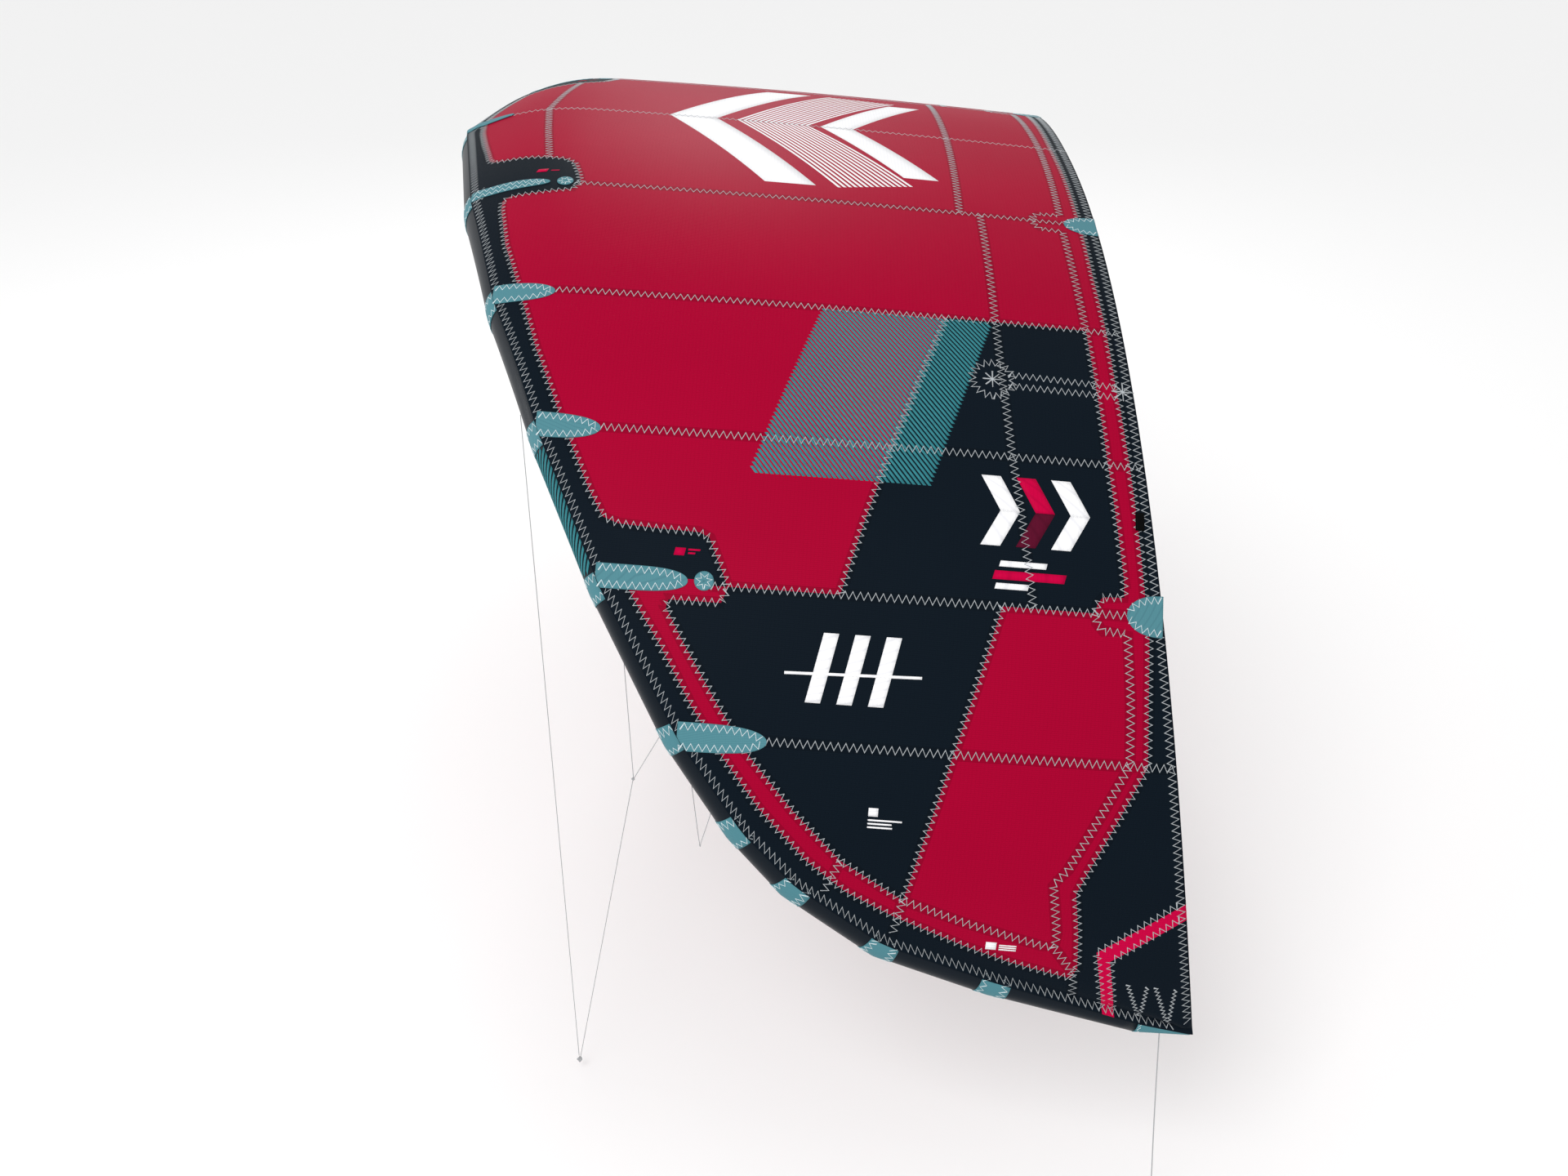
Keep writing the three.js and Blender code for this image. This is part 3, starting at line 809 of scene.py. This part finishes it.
for side, label in wings:
    tapeBm, tapeThread = bmesh.new(), bmesh.new()

    def onWing(u, y, lift):
        return clothSpot(side * u, y, lift)

    for leaf in leaves + trailLeaves:
        if leaf["share"] == 0.0 and side < 0:
            continue
        addLeaf(tapeBm, leaf, side)
        for edge in (-1, 1):
            rows = zigzag(leafStitch(leaf, edge), swing=0.0085)
            addThread(tapeThread, rows, onWing, levels["tape"], width=0.0026)
    for share, y, radius in discs:
        def layDisc(column, row):
            reach = radius * (0.02 + 0.98 * column)
            turn = row * math.tau
            return clothSpot(side * (share * arch["half"] + reach * math.cos(turn)),
                             y + reach * math.sin(turn), levels["tape"])
        addGrid(tapeBm, 4, 28, layDisc)
        ring = [(share * arch["half"] + radius * 0.62 * math.cos(turn / 8 * math.pi),
                 y + radius * 0.62 * math.sin(turn / 8 * math.pi)) for turn in range(17)]
        addThread(tapeThread, zigzag(ring, swing=0.006, step=0.007), onWing, levels["tape"], width=0.0024)
    sewSheet(tapeBm, tapeThickness)
    tapes = finishPiece("canopy_tapes_" + label, tapeBm, ["tape"])

    for station in range(capStation):
        if station == 0 and side < 0:
            continue
        wide = stationWidth(max(station, 0.3))
        half = bandHalf(station)
        radius = tubeAt(station)["radius"] + tubeSet["bandTop"]
        for edge in (-1, 1):
            off = edge * (half - 0.0125)
            girth = math.tau * radius

            def onTube(u, y, lift):
                return tubeSpot(side * station + u / wide, math.degrees(y / radius), lift)

            spots = zigzag([(off, 0.0), (off, girth / 2), (off, girth * 0.9999)], swing=0.0085)
            addThread(tapeThread, spots, onTube, tubeSet["bandTop"], width=0.0026)
    wide = stationWidth(capStation)
    radius = tubeAt(capStation)["radius"]

    def onCap(u, y, lift):
        return tubeSpot(side * (capStation + 0.02 + u / wide), math.degrees(y / radius), lift)

    spots = zigzag([(0.01, 0.0), (0.01, math.pi * radius), (0.01, math.tau * radius)], swing=0.007)
    addThread(tapeThread, spots, onCap, 0.0012, width=0.0026)
    closeThreads(tapeThread)
    finishPiece("tape_stitching_" + label, tapeThread, ["threadPale"])
print("tapes sewn on")

# Prints, laid thin on the cloth; patches are four corners each, in share of the arch and chord


def addPatch(bm, corners, side, columns=6, rows=6, level="print"):
    a, b, c, d = [(share * arch["half"], y) for share, y in corners]

    def lay(column, row):
        u = mix(mix(a[0], b[0], column), mix(d[0], c[0], column), row)
        y = mix(mix(a[1], b[1], column), mix(d[1], c[1], column), row)
        return clothSpot(side * u, y, levels[level])

    addGrid(bm, columns, rows, lay)


def finishPrint(name, bm, slot):
    thickenPrint(bm)
    layer = bm.loops.layers.uv.new("cloth")
    for face in bm.faces:
        for loop in face.loops:
            loop[layer].uv = (loop.vert.co.y, loop.vert.co.z + loop.vert.co.x)
    return finishPiece(name, bm, [slot])


# Bars with parallel ends: share of the arch, its width, chord place, length, how far the outer end is
# moved along the chord, columns and rows
whiteBars = [(0.0, 0.17, 0.66, 0.15, 0.31, 4, 24)]
for stripe in range(14):
    whiteBars.append((0.0, 0.17 - stripe * 0.0012, 0.875 + stripe * 0.0165, 0.0095, 0.31, 1, 24))
whiteBars.append((0.0, 0.135, 1.14, 0.105, 0.245, 3, 20))
for y in (1.150, 1.228, 1.306):       # three slanted bars, crossed by a thin line
    whiteBars.append((0.669, 0.057, y + 0.036, 0.038, -0.036, 3, 8))
crossLine = [(0.7020, 1.095), (0.6990, 1.435), (0.7013, 1.435), (0.7043, 1.095)]
emblemBars = []                       # a chevron emblem and the stripes under it
for y in (1.565, 1.745):
    emblemBars += [(0.524, 0.031, y, 0.05, 0.05, 3, 8), (0.555, 0.031, y + 0.05, 0.05, -0.05, 3, 8)]
emblemBars += [(0.5985, 0.005, 1.618, 0.119, -0.004, 6, 1), (0.6175, 0.005, 1.608, 0.084, -0.004, 6, 1)]
labelBars = [(0.808, 0.007, 1.328, 0.024, 0.0, 2, 2)]
for share, length in ((0.8175, 0.085), (0.8205, 0.06), (0.8235, 0.062)):
    labelBars.append((share, 0.0014, 1.328, length, 0.0, 4, 1))
labelBars.append((0.9185, 0.007, 1.657, 0.027, 0.0, 2, 2))
for share in (0.9195, 0.9215, 0.9235):
    labelBars.append((share + 0.0008, 0.0012, 1.691, 0.044, 0.0, 3, 1))
redBars = [
    (0.6070, 0.0075, 1.604, 0.182, -0.006, 8, 2), (0.524, 0.031, 1.655, 0.05, 0.05, 3, 8),
    (0.607, 0.0065, 0.806, 0.026, -0.004, 2, 2), (0.6075, 0.0015, 0.838, 0.03, -0.001, 2, 1),
    (0.6105, 0.0015, 0.838, 0.018, -0.001, 2, 1), (0.1725, 0.006, 0.312, 0.03, -0.005, 2, 2),
    (0.1755, 0.0015, 0.350, 0.024, -0.001, 2, 1),
]
plumBars = [(0.555, 0.031, 1.705, 0.05, -0.05, 3, 8)]
tagBars = [(0.547, 0.016, 1.962, 0.023, 0.0, 3, 5)]
hatchSet = {"corners": [(0.3635, 1.140), (0.538, 0.970), (0.3635, 1.598)], "stripes": 78, "slant": 1.26,
            "farDepth": 0.46, "stripe": 0.00828}


def addBars(bm, bars, side, level="print"):
    for share, wide, y, length, slide, columns, rows in bars:
        corners = [(share, y), (share, y + length),
                   (share + wide, y + length + slide), (share + wide, y + slide)]
        addPatch(bm, corners, side, columns, rows, level)


def hatchSpot(down, across):
    near, far, behind = hatchSet["corners"]
    depth = mix(behind[1] - near[1], hatchSet["farDepth"], down)
    return mix(near[0], far[0], down), mix(near[1], far[1], down) + across * depth


for side, label in wings:
    white = bmesh.new()
    addBars(white, whiteBars, side)
    addPatch(white, crossLine, side, 20, 1)
    addBars(white, emblemBars + labelBars, side)
    finishPrint("white_prints_" + label, white, "print")
    for name, bars, slotName, level in (("red_prints_", redBars, "redPrint", "print"),
                                        ("plum_prints_", plumBars, "plumPrint", "print"),
                                        ("trailing_tag_", tagBars, "blackPrint", "tape")):
        printBm = bmesh.new()
        addBars(printBm, bars, side, level)
        finishPrint(name + label, printBm, slotName)

    hatch = bmesh.new()
    slant = hatchSet["slant"]
    for k in range(hatchSet["stripes"]):   # slanted stripes, cut off at the hatch's outline
        lead = mix(-slant, 1.0, (k + 0.5) / hatchSet["stripes"])
        inner, outer = max(-lead / slant, 0.0), min((1 - lead) / slant, 1.0)
        if outer - inner >= 0.02:
            a = hatchSpot(inner, lead + slant * inner)
            b = hatchSpot(outer, lead + slant * outer)
            stripeEnds = [a, (a[0], a[1] + hatchSet["stripe"]), (b[0], b[1] + hatchSet["stripe"]), b]
            addPatch(hatch, stripeEnds, side, 1, 14)
    finishPrint("hatch_print_" + label, hatch, "tealPrint")
print("prints laid")

# Teal hatch round the tube between the third and fourth bands
wrapSet = {"stripes": 26, "begin": 2.75, "spread": 1.14, "run": 0.4, "from": 3.09, "to": 3.9,
           "stripe": 0.026, "under": 165, "lift": 0.0008}
for side, label in wings:
    wrapBm = bmesh.new()
    for k in range(wrapSet["stripes"]):
        share = k / wrapSet["stripes"]
        begin = wrapSet["begin"] + share * wrapSet["spread"]
        first = min(max((wrapSet["from"] - begin) / wrapSet["run"], 0.0), 0.95)
        last = min((wrapSet["to"] - begin) / wrapSet["run"], 1.0)
        top = mix(44, 37, share)

        def layWrap(column, row):
            far = mix(first, last, column)
            station = begin + far * wrapSet["run"] + wrapSet["stripe"] * (row - 0.5)
            return tubeSpot(side * station, mix(top, wrapSet["under"], far), wrapSet["lift"])

        addGrid(wrapBm, 14, 1, layWrap)
    thickenPrint(wrapBm)
    finishPiece("tube_hatch_" + label, wrapBm, ["tealPrint"])

# Struts: a sewn sleeve with a flared foot at the tube and a closed end, and its bands

struts = [
    {"name": "inner", "u": 0.6, "front": 0.050, "rear": 0.022, "start": 0.302, "end": 1.915},
    {"name": "outer", "u": 1.93, "front": 0.042, "rear": 0.019, "start": 0.760, "end": 2.020},
]
strutSet = {"gap": 0.0035, "skin": 0.003, "columns": 70, "sides": 32,
            "frontEnd": 0.02, "rearEnd": 0.03, "bandWidth": 0.06, "bandTop": 0.0014, "bandThickness": 0.0011,
            "bandsAt": (0.05, 0.34, 0.66, 0.93)}


def strutSpot(strut, y, angle, size=1.0, lift=0.0):
    share = min(max((y - strut["start"]) / (strut["end"] - strut["start"]), 0.0), 1.0)
    around = mix(strut["front"], strut["rear"], share)
    drop = camberAt(strut["u"], y, camberStart(strut["u"])) - strutSet["skin"] - strutSet["gap"] - around
    up = skinNormal(strut["u"])
    across = Vector((0, 1, 0)).cross(up)
    turn = math.radians(angle)
    spot = skinLevel(strut["u"], y, drop)
    return tilt(spot + (up * math.cos(turn) + across * math.sin(turn)) * (around * size + lift))


def mirrorSpot(spot, side):
    return Vector((side * spot.x, spot.y, spot.z))


def endRound(share):
    return math.sqrt(max(1 - (1 - min(share, 1.0)) ** 2, 0.0))


for side, label in wings:
    for strut in struts:
        strutBm = bmesh.new()

        def layStrut(column, row):
            end = strut["end"] - 0.001
            y = mix(strut["start"], end, column)
            rear, front = (end - y) / strutSet["rearEnd"], (y - strut["start"]) / strutSet["frontEnd"]
            size = endRound(rear) * endRound(front)
            return mirrorSpot(strutSpot(strut, y, row * 360, max(size, 0.02)), side)

        addGrid(strutBm, strutSet["columns"], strutSet["sides"], layStrut)
        closeEnds(strutBm, 0.00005, 64)
        piece = finishPiece(strut["name"] + "_strut_sleeve_" + label, strutBm, ["sleeve"])
        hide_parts(strut["name"] + "_strut_" + label)

        bandBm, threadBm = bmesh.new(), bmesh.new()
        length = strut["end"] - strut["start"]
        for share in strutSet["bandsAt"]:
            middle = strut["start"] + share * length

            def layBand(column, row):
                y = middle + strutSet["bandWidth"] * (column - 0.5)
                return mirrorSpot(strutSpot(strut, y, row * 360, 1.0, strutSet["bandTop"]), side)

            addGrid(bandBm, 4, 28, layBand)
            around = mix(strut["front"], strut["rear"], share)
            for edge in (-0.019, 0.019):

                def onStrut(u, y, lift):
                    turn = math.degrees(y / around)
                    return mirrorSpot(strutSpot(strut, middle + u, turn, 1.0, lift), side)

                girth = math.tau * around
                spots = zigzag([(edge, 0.0), (edge, girth / 2), (edge, girth * 0.999)], swing=0.008)
                addThread(threadBm, spots, onStrut, strutSet["bandTop"], width=0.0026)
        sewSheet(bandBm, strutSet["bandThickness"])
        finishPiece(strut["name"] + "_strut_bands_" + label, bandBm, ["tape"])
        closeThreads(threadBm)
        finishPiece(strut["name"] + "_strut_stitching_" + label, threadBm, ["threadPale"])
print("struts made")

# Bridle, pigtails and loops: straight braided cords under tension

pigtail = [(2.133, 2.009, -1.869), (2.125, 2.018, -1.960), (2.103, 2.045, -2.230), (2.074, 2.079, -2.540)]
bungee = [(1.912, 0.782, -1.180), (1.922, 0.791, -1.285), (1.931, 0.801, -1.400), (1.9345, 0.804, -1.417),
          (1.936, 0.807, -1.400), (1.936, 0.826, -1.335), (1.936, 0.847, -1.254)]
cords = [
    ("bridle_line_front", [(1.334, 0.334, -0.4705), (1.5970, 0.3775, -2.5555)], 0.0022, "bridle_", "knot"),
    ("bridle_line_upper_inner", [(1.7394, 0.6113, -0.9135), (1.7992, 0.6258, -1.298)],
     0.002, "bridle_", "knot"),
    ("bridle_line_upper_outer", [(1.850, 0.727, -1.085), (1.8012, 0.6276, -1.2986)],
     0.002, "bridle_", "knot"),
    ("bridle_line_lower", [(1.7996, 0.624, -1.306), (1.6037, 0.3825, -2.5555)], 0.0022, "bridle_", "knot"),
    ("back_pigtail", pigtail, 0.0032, "back_line_", "knot"),
    ("tip_bungee", bungee, 0.002, "bungee_", "bare"),
]


def smooth(points, parts=8):
    if len(points) == 2:
        a, b = Vector(points[0]), Vector(points[1])
        return [a.lerp(b, i / 24) for i in range(25)]
    spots = [Vector(p) for p in points]
    spots = [spots[0] * 2 - spots[1]] + spots + [spots[-1] * 2 - spots[-2]]
    found = []
    for i in range(1, len(spots) - 2):
        p0, p1, p2, p3 = spots[i - 1:i + 3]
        for k in range(parts):
            t = k / parts
            found.append(0.5 * (2 * p1 + (p2 - p0) * t + (2 * p0 - 5 * p1 + 4 * p2 - p3) * t * t
                                + (3 * p1 - p0 - 3 * p2 + p3) * t ** 3))
    return found + [spots[-2]]


def addCord(name, points, thickness, side):
    data = bpy.data.curves.new(name, "CURVE")
    data.dimensions = "3D"
    data.bevel_depth = thickness / 2
    data.bevel_resolution = 3
    data.use_fill_caps = True
    spline = data.splines.new("POLY")
    spline.points.add(len(points) - 1)
    for spot, point in zip(spline.points, points):
        spot.co = (side * point.x, point.y, point.z, 1)
    data.materials.append(finishes["line"])
    piece = bpy.data.objects.new(name, data)
    bpy.context.scene.collection.objects.link(piece)
    return piece


for side, label in wings:
    for name, ends, thickness, body, far in cords:
        points = smooth(ends)
        piece = addCord(name + "_cord_" + label, points, thickness, side)
        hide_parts(name + "_" + label)
        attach(piece, body + label)
print("cords hung")


# A small overhand knot: a trefoil of cord pulled tight
def addKnot(name, centre, size, side, body, replaced=None):
    points = []
    for i in range(73):
        t = math.tau * i / 72
        spin = Vector((math.sin(t) + 2 * math.sin(2 * t), math.cos(t) - 2 * math.cos(2 * t),
                       -1.6 * math.sin(3 * t)))
        points.append(Vector(centre) + Vector((spin.x, spin.y, spin.z * 1.3)) * size / 6)
    piece = addCord(name, points, size * 0.55, side)
    if replaced:
        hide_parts(replaced)
    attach(piece, body)


for side, label in wings:
    addKnot("front_line_knot_cord_" + label, (1.600, 0.379, -2.568), 0.0115, side, "bridle_" + label,
            "front_line_knot_" + label)
    addKnot("back_line_knot_cord_" + label, (2.0735, 2.0795, -2.549), 0.0105, side, "back_line_" + label,
            "back_line_knot_" + label)
    addKnot("bridle_joint_knot_" + label, (1.800, 0.625, -1.302), 0.0065, side, "bridle_" + label)
print("knots tied")

# The other machined and moulded pieces keep their shape and get their finish
finishByName = {"bladder": "film", "hose": "hose", "clip": "grey", "valve_body": "grey", "valve": "black"}
for piece in [o for o in bpy.data.objects if o.type == "MESH"]:
    if piece.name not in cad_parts:
        continue
    for part, finish in finishByName.items():
        if part in piece.name:
            piece.data.materials.clear()
            piece.data.materials.append(finishes[finish])
            break

# Room

room = {"floor": -2.62, "size": 160.0, "world": 0.95}


def buildRoom(settings):
    bm = bmesh.new()
    bmesh.ops.create_grid(bm, x_segments=1, y_segments=1, size=settings["size"] / 2)
    bmesh.ops.translate(bm, verts=bm.verts[:], vec=(0, 0, settings["floor"]))
    mesh = bpy.data.meshes.new("floor")
    bm.to_mesh(mesh)
    bm.free()
    made, shader = material("floorPale", 0.9)
    shader.inputs["Base Color"].default_value = (0.92, 0.92, 0.92, 1)
    mesh.materials.append(made)
    floor = bpy.data.objects.new("floor", mesh)
    bpy.context.scene.collection.objects.link(floor)
    world = bpy.data.worlds.new("studio")
    world.use_nodes = True
    world.node_tree.nodes["Background"].inputs["Color"].default_value = (1, 1, 1, 1)
    world.node_tree.nodes["Background"].inputs["Strength"].default_value = settings["world"]
    bpy.context.scene.world = world
    bpy.context.scene.view_settings.view_transform = "Standard"


def addLight(name, place, aim, size, power):
    data = bpy.data.lights.new(name, "AREA")
    data.shape = "RECTANGLE"
    data.size, data.size_y = size
    data.energy = power
    lamp = bpy.data.objects.new(name, data)
    lamp.location = place
    lamp.rotation_mode = "QUATERNION"
    lamp.rotation_quaternion = (Vector(aim) - Vector(place)).to_track_quat("-Z", "Y")
    bpy.context.scene.collection.objects.link(lamp)


lights = {
    "keyLight": ((6.0, -1.0, 4.5), (1.0, 1.0, -0.8), (3.0, 3.0), 220.0),
    "backLight": ((-6.5, 0.9, 3.0), (0.0, 0.9, 0.0), (1.2, 1.0), 90.0),
    "frontLight": ((-0.5, -7.5, -0.6), (1.2, 0.2, -0.6), (0.8, 4.0), 120.0),
}
buildRoom(room)
for lightName, (place, aim, size, power) in lights.items():
    addLight(lightName, place, aim, size, power)
print("room lit")
